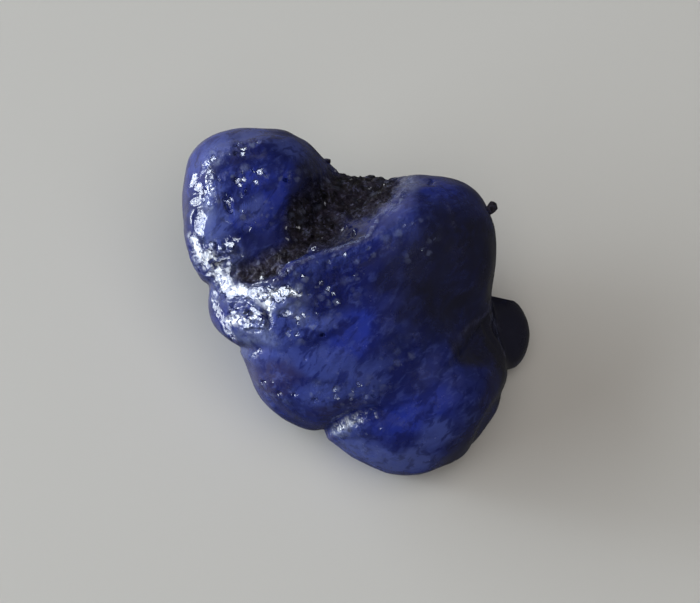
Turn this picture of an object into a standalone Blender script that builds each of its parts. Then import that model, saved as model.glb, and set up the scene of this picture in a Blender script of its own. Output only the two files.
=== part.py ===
"""Rough sapphire: a waterworn, twisted crystal pebble that grew as one piece, so it is one solid.

The stone is shaped in its own frame, in millimetres: +X runs across its broad face, +Y up the face and
+Z out of the face. Its surface is where a field is zero: a soft union of crystal lobes and of the dark
rock that fills the cleft beside the head, less a few hollows, with seams where the crystal's bands meet.
Each point of a gridded sphere is pushed along its ray from the stone's heart out to that surface. The
stone is then leaned back to how it rests, cut flat where it bears on the ground, and scaled to metres.
"""

import math
from collections import namedtuple

import bmesh
import bpy
import numpy as np
from mathutils import Matrix, Vector

NODE_NAME = "rough_sapphire"

MM = 0.001
GRID_STEPS = 29

# rays run out from the heart, which sees nearly all of the skin, and stop within REACH
HEART = (-0.3, 1.2, -2.0)
REACH = 14.0
MARCH_STEPS = 70
BISECTIONS = 14

# how far each point moves towards the mean of its neighbours, which calms seams finer than the grid
SMOOTHING = 0.3

# how the stone rests: it leans back, and is cut flat at this height in mm, points within BASE_SNAP first
# being moved onto the cut so that it leaves no slivers
LEAN_BACK = math.radians(25.0)
BASE_CUT = -5.3
BASE_SNAP = 0.12
BISECT_TOLERANCE = 1e-5
SHARP_EDGE = math.radians(50.0)

Lobe = namedtuple("Lobe", "centre radii turn squareness")

# centre and radii in mm, turn in degrees about +Z (anticlockwise), squareness 2 for an ellipsoid
CRYSTAL = {
    "head": Lobe((-5.0, 5.95, -0.8), (3.95, 3.65, 3.75), 0, 2.35),
    "nape": Lobe((-3.1, 5.7, -1.9), (2.85, 2.9, 2.9), 0, 2.0),
    "cheek": Lobe((-5.75, 3.4, -0.6), (3.05, 3.5, 3.4), 0, 2.2),
    "first_band": Lobe((-0.95, 1.1, 0.1), (6.85, 2.75, 4.25), 17, 2.4),
    "shoulder": Lobe((4.25, 2.75, -0.4), (4.0, 4.1, 4.6), 0, 2.1),
    "body": Lobe((1.6, -1.3, -0.5), (6.2, 4.8, 5.1), 25, 2.2),
    "flank": Lobe((-1.55, -2.2, -0.3), (5.4, 3.65, 4.6), -50, 2.2),
    "second_band": Lobe((0.8, -2.3, -0.2), (6.6, 3.85, 4.6), 32, 2.2),
    "foot": Lobe((3.95, -5.4, -0.1), (5.0, 3.9, 4.45), 22, 2.2),
    "back": Lobe((0.8, -0.6, -2.2), (5.2, 6.0, 4.4), 0, 2.0),
    "stub": Lobe((8.4, -1.75, -3.2), (1.8, 1.9, 1.7), -12, 3.0),
}
ROCK = Lobe((0.2, 3.85, -2.7), (4.6, 3.3, 3.3), 0, 2.2)

# soft-edged bites out of the lobes
HOLLOWS = {
    "armpit": Lobe((7.5, -1.6, 4.4), (2.4, 1.3, 3.1), -40, 2.0),
    "heel_scoop": Lobe((9.7, -7.4, 1.0), (2.4, 3.4, 4.5), -28, 2.0),
}
HOLLOW_SOFTNESS = 0.3

# how softly lobes run together, in mm: crisp on the left of the face, melted on the right
CREASE_SOFTNESS = (0.16, 0.6)
CREASE_FADE = (-4.0, 4.0)

Seam = namedtuple("Seam", "start slope bend depth width lip fade")

# a groove along y = start y + slope dx + bend dx^2, where dx = x - start x; it dies out over fade
SEAMS = {
    "neck": Seam((-7.4, 0.9), 0.55, 0.0, 0.35, 0.35, -0.08, (-5.0, -2.0)),
    "first": Seam((-6.0, -2.6), -0.05, 0.055, 0.4, 0.35, 0.14, (-1.5, 2.0)),
    "second": Seam((-1.0, -6.9), 0.22, 0.035, 0.45, 0.35, -0.18, (2.5, 6.5)),
}
LIP_WIDTH = 1.3

# (amplitude, wavelength, number of waves), in mm
SWELL_WAVES = ((0.12, 5.0, 6), (0.03, 2.0, 10))
SEED = 11

# the rock's own roughness, as SWELL_WAVES, and the mm over which it takes over from the crystal
CRUMBLE_WAVES = (0.16, 1.3, 14)
CRUMBLE_EDGE = (-0.3, 0.3)

BASE_COLOR = (0.02, 0.03, 0.22, 1.0)
ROUGHNESS = 0.15
IOR_OF_SAPPHIRE = 1.77


def smooth_step(value, low, high):
    """0 below low, 1 above high, and the cubic 3t^2 - 2t^3 between them."""
    t = np.clip((value - low) / (high - low), 0.0, 1.0)
    return t * t * (3.0 - 2.0 * t)


def lobe_distance(points, lobe):
    """Roughly the distance in mm from a lobe's skin, negative inside it."""
    angle = math.radians(lobe.turn)
    offset = points - np.array(lobe.centre)
    along = offset[..., 0] * math.cos(angle) + offset[..., 1] * math.sin(angle)
    across = offset[..., 1] * math.cos(angle) - offset[..., 0] * math.sin(angle)
    local = np.abs(np.stack([along, across, offset[..., 2]], axis=-1))
    radii = np.array(lobe.radii)
    p = lobe.squareness
    size = ((local / radii) ** p).sum(-1) ** (1.0 / p)
    slope = np.linalg.norm(local / radii**2, axis=-1) / np.maximum(size, 1e-6)
    return (size - 1.0) / np.maximum(slope, 1e-6)


def stone_field(points):
    """Roughly the distance in mm from the stone's skin, negative inside.

    The soft union of distances d is -k log(sum(exp(-d / k))), with softness k growing to the right.
    """
    fade = smooth_step(points[..., 0], *CREASE_FADE)
    soft = CREASE_SOFTNESS[0] + (CREASE_SOFTNESS[1] - CREASE_SOFTNESS[0]) * fade
    crystal = np.stack([lobe_distance(points, lobe) for lobe in CRYSTAL.values()])
    rock = lobe_distance(points, ROCK)
    rockiness = smooth_step(crystal.min(0) - rock, *CRUMBLE_EDGE)
    nearest = np.minimum(crystal.min(0), rock)
    overlap = np.exp((nearest - crystal) / soft).sum(0) + np.exp((nearest - rock) / soft)
    field = nearest - soft * np.log(overlap)
    for hollow in HOLLOWS.values():
        bite = -lobe_distance(points, hollow)
        field = HOLLOW_SOFTNESS * np.logaddexp(field / HOLLOW_SOFTNESS, bite / HOLLOW_SOFTNESS)
    for seam in SEAMS.values():
        field += seam_depth(points, seam)
    draw = np.random.default_rng(SEED)
    for swell in SWELL_WAVES:
        field += waves(points, draw, *swell)
    return field + rockiness * waves(points, draw, *CRUMBLE_WAVES)


def seam_depth(points, seam):
    """How far a seam lowers the skin: a narrow notch d / (1 + (g / w)^2), with one lip standing proud."""
    dx = points[..., 0] - seam.start[0]
    line = seam.start[1] + seam.slope * dx + seam.bend * dx**2
    steepness = np.hypot(1.0, seam.slope + 2.0 * seam.bend * dx)
    gap = (points[..., 1] - line) / steepness
    fade = 1.0 - smooth_step(points[..., 0], *seam.fade)
    notch = seam.depth / (1.0 + (gap / seam.width) ** 2)
    lip = seam.lip * np.sign(gap) * np.exp(-np.abs(gap) / LIP_WIDTH)
    return (notch - lip) * fade


def waves(points, draw, amplitude, wavelength, count):
    """Uneven height in mm: sine waves of one length, in directions and phases drawn from a seeded source."""
    height = np.zeros(points.shape[:-1])
    for _ in range(count):
        way = draw.normal(size=3)
        way *= 2.0 * math.pi / wavelength / np.linalg.norm(way)
        height += np.sin(points @ way + draw.uniform(0.0, 2.0 * math.pi))
    return height * amplitude / math.sqrt(count)


def surface_points(directions):
    """The skin's outermost points along unit directions from the heart, found by marching and halving."""
    heart = np.array(HEART)
    steps = np.linspace(0.0, REACH, MARCH_STEPS)
    inside = np.zeros(len(directions))
    for step in steps:
        here = stone_field(heart + step * directions) < 0.0
        inside = np.where(here, step, inside)
    low, high = inside, inside + REACH / (MARCH_STEPS - 1)
    for _ in range(BISECTIONS):
        middle = (low + high) / 2.0
        here = stone_field(heart + middle[:, None] * directions) < 0.0
        low, high = np.where(here, middle, low), np.where(here, high, middle)
    return heart + low[:, None] * directions


def gridded_cube():
    """A cube from -1 to 1 whose sides are cut into GRID_STEPS squares each way, as a bmesh."""
    mesh = bmesh.new()
    bmesh.ops.create_cube(mesh, size=2.0)
    bmesh.ops.subdivide_edges(mesh, edges=mesh.edges[:], cuts=GRID_STEPS - 1, use_grid_fill=True)
    return mesh


def shape_stone(mesh):
    """Pushes the cube's points out to the stone's skin, spaced evenly as seen from the heart."""
    cube = np.array([vertex.co for vertex in mesh.verts])
    even = np.tan(cube * math.pi / 4.0)
    directions = even / np.linalg.norm(even, axis=1, keepdims=True)
    for vertex, place in zip(mesh.verts, surface_points(directions)):
        vertex.co = Vector(place)
    bmesh.ops.smooth_vert(
        mesh, verts=mesh.verts[:], factor=SMOOTHING, use_axis_x=True, use_axis_y=True, use_axis_z=True
    )


def rest_on_base(mesh):
    """Leans the stone back, cuts its resting face flat and puts the origin under the middle of its box."""
    bmesh.ops.rotate(mesh, verts=mesh.verts[:], matrix=Matrix.Rotation(LEAN_BACK, 3, "X"))
    for vertex in mesh.verts:
        if abs(vertex.co.z - BASE_CUT) < BASE_SNAP:
            vertex.co.z = BASE_CUT
    bmesh.ops.bisect_plane(
        mesh,
        geom=mesh.verts[:] + mesh.edges[:] + mesh.faces[:],
        plane_co=(0.0, 0.0, BASE_CUT),
        plane_no=(0.0, 0.0, -1.0),
        dist=BISECT_TOLERANCE,
        clear_outer=True,
    )
    rim = [edge for edge in mesh.edges if edge.is_boundary]
    bmesh.ops.contextual_create(mesh, geom=rim)
    places = np.array([vertex.co for vertex in mesh.verts])
    low, high = places.min(0), places.max(0)
    shift = Vector((-(low[0] + high[0]) / 2.0, -(low[1] + high[1]) / 2.0, -low[2]))
    bmesh.ops.translate(mesh, verts=mesh.verts[:], vec=shift)
    bmesh.ops.scale(mesh, verts=mesh.verts[:], vec=(MM, MM, MM))
    bmesh.ops.recalc_face_normals(mesh, faces=mesh.faces[:])


def blue_corundum():
    material = bpy.data.materials.new("blue_corundum")
    material.use_nodes = True
    shader = material.node_tree.nodes["Principled BSDF"]
    shader.inputs["Base Color"].default_value = BASE_COLOR
    shader.inputs["Roughness"].default_value = ROUGHNESS
    shader.inputs["Metallic"].default_value = 0.0
    shader.inputs["IOR"].default_value = IOR_OF_SAPPHIRE
    return material


def build():
    for obj in list(bpy.data.objects):
        bpy.data.objects.remove(obj)
    mesh = gridded_cube()
    shape_stone(mesh)
    rest_on_base(mesh)
    data = bpy.data.meshes.new(NODE_NAME)
    mesh.to_mesh(data)
    mesh.free()
    data.shade_smooth()
    data.set_sharp_from_angle(angle=SHARP_EDGE)
    data.materials.append(blue_corundum())
    stone = bpy.data.objects.new(NODE_NAME, data)
    bpy.context.scene.collection.objects.link(stone)


build()
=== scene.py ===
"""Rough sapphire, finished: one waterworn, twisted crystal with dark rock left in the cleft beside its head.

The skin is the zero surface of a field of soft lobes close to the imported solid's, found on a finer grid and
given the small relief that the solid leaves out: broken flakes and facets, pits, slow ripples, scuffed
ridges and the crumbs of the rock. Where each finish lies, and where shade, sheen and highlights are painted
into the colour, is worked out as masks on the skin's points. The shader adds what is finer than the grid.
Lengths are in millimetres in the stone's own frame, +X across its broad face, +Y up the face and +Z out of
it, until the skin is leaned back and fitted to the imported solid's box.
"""

import itertools
import math
from collections import namedtuple

import bpy
import numpy as np
from mathutils import Matrix, Vector


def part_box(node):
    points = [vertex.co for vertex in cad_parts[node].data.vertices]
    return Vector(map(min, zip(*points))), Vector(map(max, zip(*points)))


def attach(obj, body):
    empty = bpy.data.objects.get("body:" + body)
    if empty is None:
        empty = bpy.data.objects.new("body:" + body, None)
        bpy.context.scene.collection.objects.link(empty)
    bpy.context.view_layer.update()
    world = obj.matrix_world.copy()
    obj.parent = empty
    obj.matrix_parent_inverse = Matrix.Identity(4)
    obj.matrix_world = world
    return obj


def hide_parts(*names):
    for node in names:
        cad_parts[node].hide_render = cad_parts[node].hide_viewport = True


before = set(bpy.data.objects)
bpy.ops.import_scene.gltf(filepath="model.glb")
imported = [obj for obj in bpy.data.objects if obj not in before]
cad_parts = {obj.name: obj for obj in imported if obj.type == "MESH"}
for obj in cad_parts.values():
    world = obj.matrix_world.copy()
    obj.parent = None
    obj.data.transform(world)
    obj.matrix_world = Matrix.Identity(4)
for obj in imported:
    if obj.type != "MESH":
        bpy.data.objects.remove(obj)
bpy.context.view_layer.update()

MM = 0.001
NODE = "rough_sapphire"
BODY = "root"

# ---- the stone's form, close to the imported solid's ----

Lobe = namedtuple("Lobe", "centre radii turn squareness")

# centre and radii in mm, turn in degrees about +Z (anticlockwise), squareness 2 for an ellipsoid
CRYSTAL = {
    "head": Lobe((-5.0, 5.95, -0.8), (3.95, 3.65, 3.75), 0, 2.35),
    "nape": Lobe((-3.15, 5.6, -1.9), (2.6, 2.75, 2.8), 0, 2.0),
    "cheek": Lobe((-5.7, 3.5, -0.6), (3.0, 3.35, 3.4), 0, 2.2),
    "first_band": Lobe((-0.95, 1.1, 0.1), (6.85, 2.75, 4.25), 17, 2.4),
    "shoulder": Lobe((4.25, 2.75, -0.4), (4.0, 4.1, 4.6), 0, 2.1),
    "body": Lobe((1.6, -1.3, -0.5), (6.2, 4.8, 5.1), 25, 2.2),
    "flank": Lobe((-1.5, -2.15, -0.3), (5.35, 3.45, 4.6), -50, 2.2),
    "second_band": Lobe((0.8, -2.3, -0.2), (6.35, 3.85, 4.6), 32, 2.2),
    "foot": Lobe((4.0, -5.4, -0.1), (4.9, 3.95, 4.45), 22, 2.25),
    "back": Lobe((0.8, -0.6, -2.2), (5.2, 6.0, 4.4), 0, 2.0),
    "hip": Lobe((7.1, -2.85, -0.4), (1.2, 1.85, 2.2), 26, 2.2),
    "stub": Lobe((8.8, -1.87, -3.2), (1.3, 2.0, 1.7), 12, 2.1),
}
ROCK = Lobe((0.2, 3.85, -2.7), (4.6, 3.3, 3.3), 0, 2.2)
HOLLOWS = {
    "armpit": Lobe((7.6, -1.7, 4.4), (2.6, 1.5, 2.3), -40, 2.0),
    "heel_scoop": Lobe((9.7, -7.4, 1.0), (2.4, 3.4, 4.5), -28, 2.0),
}
HOLLOW_SOFTNESS = 0.3
CREASE_SOFTNESS = 0.45

Seam = namedtuple("Seam", "start slope bend depth width lip fade")

# a groove along y = start y + slope dx + bend dx^2, where dx = x - start x; it dies out over fade
SEAMS = {
    "neck": Seam((-7.4, 0.9), 0.55, 0.0, 0.18, 0.3, 0.0, (-5.0, -2.5)),
    "first": Seam((-6.0, -2.6), -0.15, 0.075, 0.22, 0.22, 0.0, (-5.6, -3.8)),
    "second": Seam((-1.2, -7.2), 0.95, -0.18, 0.35, 0.25, -0.1, (1.0, 4.0)),
}
LIP_WIDTH = 1.3
LIP_RISE = 0.3
SWELL_WAVES = ((0.12, 5.0, 6), (0.03, 2.0, 10))
SEED = 11
ROCK_EDGE = (-0.3, 0.3)

# how the noise mixes a corner's three numbers and its seed
HASH_MIX = (127.1, 311.7, 74.7)
HASH_SEED_STEP = 17.3
HASH_SCALE = 43758.5453
NOISE_LAYERS = 3

HEART = np.array((-0.3, 1.2, -2.0))
REACH = 13.5
STRIDE = 0.8
LEAST_STEP = 0.05
WALK_STEPS = 34
BISECTIONS = 9
GRID_SIDE = 128
# shifts the grid's directions, so that its points lie closer on the broad face
GRID_BIAS = (-0.1, 0.0, 0.28)
LEAN_BACK = math.radians(25.0)
BASE_CUT = -5.3
# the step in mm over which the field's slope is measured
SLOPE_STEP = 0.02

# heights in mm of the relief that the mesh carries
PIT_DEPTH = 0.04
RIPPLE_DEPTH = 0.06
HACKLE_SINK = 0.12
SCUFF_RISE = 0.04
DEEPEST_FLAKE = 0.16
# the corner sunk beside the stub: how deep, and for two of its edges a point and the way in from it
CORNER_DEPTH = 0.4
SHOULDER_EDGE = ((5.6, -3.0), (0.737, -0.676))
STUB_EDGE = ((8.0, -1.1), (-0.94, -0.34))

# heights in mm of the relief that the shader adds
SHADED_RIPPLE = 0.04
SHADED_DENT = 0.25
SHADED_SCUFF = 0.03
SHADED_RUBBLE = 0.04
SHADED_GRIT = 0.06
# how much of the way to FLAKE_FACING a glint turns the skin's normal
GLINT_TURN = 0.95

# ---- where each finish and each patch of painted shade, sheen and highlight lies on the broad face ----

Patch = namedtuple("Patch", "x y half_length half_width turn strength")

# in mm and degrees anticlockwise; a colour's strength over 1 widens the part where it is full
VIVID_PATCHES = (
    Patch(-3.9, 5.5, 2.3, 1.6, 62, 1.0),
    Patch(-5.2, 6.2, 0.8, 0.5, 70, 0.8),
    Patch(-5.3, 4.5, 1.1, 0.9, 40, 1.2),
    Patch(0.4, -1.8, 2.0, 1.3, 35, 0.75),
    Patch(3.6, -6.1, 2.6, 1.2, 20, 0.8),
    Patch(5.0, 6.0, 1.0, 0.7, 0, 0.5),
    Patch(-5.6, -1.0, 1.8, 1.3, 0, 0.4),
)
# cloudy pale blue; the patches on the head's left and top-left rims and along the foot's lower edge are
# painted sheen
MILKY_AND_SHEEN_PATCHES = (
    Patch(-6.8, 8.3, 2.4, 0.9, 40, 0.7),
    Patch(-7.1, 5.6, 1.0, 0.7, 60, 0.9),
    Patch(-7.1, 4.0, 1.1, 1.0, 90, 1.2),
    Patch(-5.2, 4.7, 1.1, 0.8, 30, 1.2),
    Patch(-4.3, 9.0, 2.2, 0.5, -8, 1.0),
    Patch(-2.6, 8.2, 0.9, 0.6, -40, 1.2),
    Patch(-3.5, -0.9, 1.4, 1.0, -40, 0.8),
    Patch(-1.9, -0.9, 1.6, 0.6, -15, 1.4),
    Patch(-3.9, -1.8, 1.9, 0.7, -5, 0.7),
    Patch(-1.9, 1.9, 1.2, 0.5, 25, 0.5),
    Patch(-2.4, -3.3, 3.4, 0.9, -4, 0.8),
    Patch(0.8, -4.4, 1.8, 1.2, 40, 0.8),
    Patch(-1.2, -5.1, 1.9, 0.7, 5, 0.7),
    Patch(-4.6, -5.5, 1.2, 0.6, -45, 0.6),
    Patch(0.9, -8.4, 2.4, 1.2, -20, 0.9),
    Patch(2.7, -8.8, 2.4, 1.0, 0, 1.3),
    Patch(4.6, -7.3, 1.3, 0.9, 30, 1.3),
    Patch(0.3, -7.3, 1.2, 0.8, 20, 0.7),
    Patch(-2.6, 2.2, 2.2, 0.5, 22, 0.4),
    Patch(3.0, 3.6, 1.6, 0.6, 45, 0.3),
)
VIOLET_PATCHES = (
    Patch(-3.6, -4.2, 1.7, 1.2, 0, 1.1),
    Patch(8.0, -4.9, 1.6, 0.6, 75, 0.7),
    Patch(6.6, -7.7, 1.3, 0.7, 50, 0.7),
    Patch(-5.4, 8.1, 1.5, 0.5, 12, 0.6),
    Patch(-5.7, 7.4, 0.6, 0.7, 0, 0.6),
    Patch(-0.6, -5.9, 2.0, 0.35, 12, 0.7),
    Patch(1.4, 2.3, 2.2, 0.7, 30, 0.4),
    Patch(-3.0, 1.7, 2.4, 0.35, 24, 0.6),
)
# deep saturated blue; the thin patches at (-1.6, -2.0), (0.5, -6.1) and (2.4, -5.7) lie along the two creases
# as painted shade
DEEP_TONE_AND_CREASE_SHADE_PATCHES = (
    Patch(-4.5, 7.7, 1.5, 0.9, 10, 0.7),
    Patch(-7.3, 7.0, 1.0, 0.35, 28, 0.9),
    Patch(-5.3, 5.7, 0.7, 0.6, 0, 0.3),
    Patch(-0.4, 0.6, 1.9, 1.1, 40, 1.7),
    Patch(1.0, 0.6, 1.6, 1.1, 60, 0.9),
    Patch(-1.6, -2.0, 1.3, 0.25, 12, 0.7),
    Patch(3.05, -7.55, 0.75, 0.65, -30, 1.0),
    Patch(1.2, -7.3, 0.5, 0.4, 0, 0.6),
    Patch(2.8, -4.4, 1.6, 0.7, 62, 0.8),
    Patch(0.5, -6.1, 0.9, 0.15, 18, 0.9),
    Patch(1.8, -1.5, 1.5, 0.3, 68, 0.9),
    Patch(3.3, -2.6, 0.9, 0.18, 50, 1.0),
    Patch(4.3, -2.5, 0.4, 0.18, 85, 0.8),
    Patch(0.0, -1.35, 0.8, 0.15, 20, 0.8),
    Patch(2.4, -5.7, 1.6, 0.25, 12, 0.9),
    Patch(5.7, -6.9, 0.35, 0.2, 60, 0.6),
    Patch(-3.4, 3.6, 1.2, 0.5, 55, 0.6),
    Patch(-0.2, 3.3, 1.8, 0.6, 22, 0.8),
)
# painted shade: near-black patches where the stone turns from the window, on the right side, the shoulder,
# the stub, the heel, the corner under the shoulder, the head's flank and the crest beside the cleft, and over
# a lip below the rock
PAINTED_SHADE_PATCHES = (
    Patch(6.3, 1.6, 4.3, 4.1, 0, 0.93),
    Patch(-2.1, 5.6, 2.3, 1.1, 95, 0.8),
    Patch(-4.4, 1.2, 1.6, 0.35, 10, 0.5),
    Patch(7.2, -2.2, 1.8, 1.3, -50, 0.95),
    Patch(6.7, -2.7, 1.6, 0.9, -30, 0.85),
    Patch(-0.1, 3.35, 1.4, 0.55, 25, 0.8),
    Patch(9.0, -1.7, 2.8, 1.8, 90, 1.3),
    Patch(8.4, -4.9, 2.9, 1.3, 72, 0.5),
    Patch(7.0, -8.3, 3.0, 1.55, 45, 0.65),
    Patch(2.3, 1.4, 1.4, 0.8, 40, 0.6),
    Patch(3.6, 0.1, 1.8, 0.6, 50, 0.7),
)
ROCK_PATCHES = (
    Patch(0.6, 6.1, 2.8, 1.8, 18, 1.0),
    Patch(-1.7, 4.3, 1.9, 1.7, 20, 1.0),
    Patch(-3.1, 2.7, 2.2, 0.62, 28, 1.0),
    Patch(-4.8, 1.65, 1.7, 0.62, 12, 1.0),
)
HACKLE_PATCHES = (
    Patch(-8.0, 2.5, 1.1, 0.6, 95, 0.8),
    Patch(-7.0, 2.5, 1.4, 0.8, 0, 0.8),
    Patch(-6.6, 1.2, 1.2, 0.8, 90, 1.0),
    Patch(-4.9, 0.35, 2.3, 0.5, 0, 1.0),
    Patch(-5.2, -1.0, 1.3, 0.75, -15, 1.0),
    Patch(-0.2, -6.8, 1.1, 0.3, 14, 0.6),
)
# pale haze of fine cracks round the broken places; it is also painted highlight round the glints, on the
# second seam and along the head's left rim
HAZE_AND_HALO_PATCHES = (
    Patch(-7.7, 4.2, 1.6, 0.6, 90, 0.3),
    Patch(-7.2, 6.5, 1.7, 0.5, 97, 0.15),
    Patch(-7.1, 3.9, 0.9, 0.8, 0, 0.15),
    Patch(2.5, -8.8, 2.0, 0.8, 0, 0.15),
    Patch(-6.5, 1.4, 1.8, 1.2, 80, 0.3),
    Patch(-4.6, 0.1, 2.6, 1.0, 0, 0.35),
    Patch(0.3, -8.1, 1.1, 0.6, -20, 0.2),
    Patch(-3.2, -0.6, 1.4, 0.6, -15, 0.45),
    Patch(-5.2, -2.0, 1.6, 0.6, -8, 0.45),
    Patch(-5.9, -3.1, 0.8, 0.4, 20, 0.3),
    Patch(-0.3, -6.95, 1.0, 0.45, 22, 0.6),
    Patch(-6.6, 8.2, 1.8, 0.9, 35, 0.1),
    Patch(3.2, 6.4, 0.9, 0.7, 0, 0.25),
)
PITTED_PATCHES = (
    Patch(-2.0, 0.6, 3.2, 1.9, 15, 1.0),
    Patch(-3.0, -1.5, 2.6, 1.0, 5, 1.0),
    Patch(0.6, 2.5, 2.4, 0.8, 30, 0.8),
    Patch(-0.4, -4.9, 2.4, 1.0, 5, 0.8),
    Patch(-3.4, -4.9, 2.2, 0.8, -10, 0.4),
    Patch(-3.6, 1.7, 2.0, 0.5, 18, 0.8),
    Patch(-6.2, 7.9, 2.2, 0.7, 15, 1.0),
    Patch(-5.6, 6.3, 1.9, 1.1, 20, 0.9),
    Patch(-2.9, 6.6, 0.9, 0.9, 0, 0.7),
    Patch(-6.1, 5.6, 1.6, 0.6, 90, 0.6),
    Patch(-7.3, 6.0, 1.5, 0.6, 90, 1.0),
    Patch(0.6, -7.0, 1.6, 0.6, 0, 0.8),
    Patch(3.6, 3.4, 1.5, 1.5, 0, 0.5),
    Patch(-5.0, 4.4, 1.5, 0.9, 30, 0.7),
    Patch(2.6, -3.4, 1.8, 1.0, 50, 0.5),
)

# flakes broken off along one flat that the crystal shares, each a small plane, as patches on the broad face
FLAKES = (
    Patch(-8.36, 6.5, 0.42, 0.15, 75, 0.8),
    Patch(-7.92, 6.05, 0.42, 0.26, -50, 1.0),
    Patch(-8.12, 5.38, 0.42, 0.24, 8, 1.0),
    Patch(-7.98, 4.15, 0.68, 0.3, 86, 1.0),
    Patch(-8.12, 2.7, 0.78, 0.24, -72, 1.0),
    Patch(-7.4, 2.86, 0.33, 0.24, 0, 1.0),
    Patch(-7.28, 2.35, 0.2, 0.12, 100, 1.0),
    Patch(-7.6, 2.25, 0.25, 0.12, -60, 1.0),
    Patch(-6.42, 3.2, 0.3, 0.22, 45, 1.0),
    Patch(-6.0, 3.2, 0.46, 0.19, 55, 1.0),
    Patch(-6.4, 5.06, 0.48, 0.15, -50, 1.0),
    Patch(-6.35, 5.55, 0.36, 0.2, -55, 0.7),
    Patch(-6.4, 4.2, 0.28, 0.1, -20, 0.7),
    Patch(-5.94, 7.95, 0.16, 0.14, 0, 1.0),
    Patch(-5.94, 6.48, 0.18, 0.14, 0, 1.0),
    Patch(-5.6, 6.9, 0.16, 0.08, 60, 0.8),
    Patch(-5.4, 5.9, 0.24, 0.08, 80, 0.7),
    Patch(-7.2, 6.93, 0.1, 0.08, 0, 0.9),
    Patch(-7.4, 7.2, 0.1, 0.08, 0, 0.9),
    Patch(-4.35, 6.8, 0.28, 0.06, -55, 0.7),
    Patch(-3.25, 6.5, 0.15, 0.09, -60, 1.0),
    Patch(-6.8, 2.2, 0.46, 0.17, 20, 1.0),
    Patch(-6.45, 1.7, 0.4, 0.15, 78, 1.0),
    Patch(-6.75, 1.2, 0.52, 0.32, -20, 1.0),
    Patch(-6.5, 0.62, 0.6, 0.34, -50, 1.0),
    Patch(-7.6, 1.85, 0.26, 0.11, -70, 1.0),
    Patch(-7.5, 1.4, 0.16, 0.12, 0, 1.0),
    Patch(-6.1, 0.42, 0.5, 0.24, -10, 1.0),
    Patch(-5.5, 0.42, 0.45, 0.24, -20, 1.0),
    Patch(-4.95, 0.45, 0.46, 0.34, 0, 1.0),
    Patch(-4.35, 0.22, 0.62, 0.42, -50, 1.0),
    Patch(-4.2, -0.35, 0.32, 0.12, 80, 1.0),
    Patch(-3.75, 0.12, 0.46, 0.28, 0, 1.0),
    Patch(-3.25, 0.48, 0.42, 0.28, 0, 1.0),
    Patch(-2.75, 0.33, 0.26, 0.1, -20, 1.0),
    Patch(-4.6, 1.2, 0.14, 0.12, 0, 1.0),
    Patch(-3.15, 1.45, 0.18, 0.09, 80, 1.0),
    Patch(-3.35, -0.75, 0.34, 0.22, 25, 0.85),
    Patch(-7.15, -0.1, 0.7, 0.17, -75, 1.0),
    Patch(-6.85, -0.95, 0.7, 0.18, -68, 1.0),
    Patch(-6.45, -1.75, 0.6, 0.19, -60, 1.0),
    Patch(-6.15, -0.7, 0.3, 0.17, 10, 0.85),
    Patch(-5.8, -1.15, 0.66, 0.26, -8, 1.0),
    Patch(-5.3, -1.4, 0.2, 0.14, 0, 1.0),
    Patch(-4.95, -1.0, 0.32, 0.13, -15, 1.0),
    Patch(-5.2, -0.5, 0.38, 0.12, -50, 0.9),
    Patch(-4.85, -0.7, 0.34, 0.11, -50, 0.9),
    Patch(-4.95, -2.8, 0.34, 0.09, 20, 0.9),
    Patch(-5.1, -3.1, 0.26, 0.07, 20, 0.8),
    Patch(-1.3, -1.9, 0.15, 0.12, 0, 0.8),
    Patch(-1.7, 2.86, 0.18, 0.16, 40, 0.9),
    Patch(-0.16, 4.89, 0.16, 0.1, 10, 1.0),
    Patch(-1.9, 3.83, 0.12, 0.1, 60, 1.0),
    Patch(-1.38, 5.34, 0.16, 0.06, 30, 0.8),
    Patch(-3.12, 3.65, 0.36, 0.06, 95, 0.8),
    Patch(-3.1, 4.68, 0.22, 0.05, 80, 0.7),
    Patch(0.36, 3.6, 0.2, 0.07, 80, 0.8),
    Patch(-0.72, 5.9, 0.3, 0.05, 85, 0.7),
    Patch(4.54, 6.42, 0.16, 0.06, 60, 0.8),
    Patch(1.32, -5.15, 0.12, 0.07, -40, 1.0),
    Patch(-2.2, -3.2, 0.1, 0.06, 20, 1.0),
    Patch(3.4, 6.6, 0.09, 0.09, 0, 1.0),
    Patch(-4.5, -4.5, 0.14, 0.08, -20, 0.75),
    Patch(-3.7, -5.15, 0.13, 0.09, 0, 0.7),
    Patch(-2.75, -5.15, 0.15, 0.08, -20, 0.7),
    Patch(-1.65, -5.45, 0.18, 0.08, -10, 0.8),
    Patch(-5.9, 8.5, 0.16, 0.06, 20, 0.6),
    Patch(-5.0, 7.0, 0.18, 0.07, -60, 0.7),
    Patch(-6.9, 6.55, 0.2, 0.07, -60, 0.7),
    Patch(-0.45, -6.85, 0.34, 0.2, 28, 1.0),
    Patch(0.2, -6.5, 0.45, 0.1, 22, 1.0),
    Patch(0.95, -6.22, 0.5, 0.1, 18, 1.0),
)
# the way that the flakes face, in the stone's own frame
FLAKE_FACING = (-0.67, 0.16, 0.72)
# the same way, long enough for a bump to turn a normal right round to it
GLINT_WAY = (-0.84, 0.20, 0.90)
# the way that the rock's grains lean
ROCK_FACING = (0.45, -0.15, 0.0)

Ridge = namedtuple("Ridge", "path half_width strength")

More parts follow.
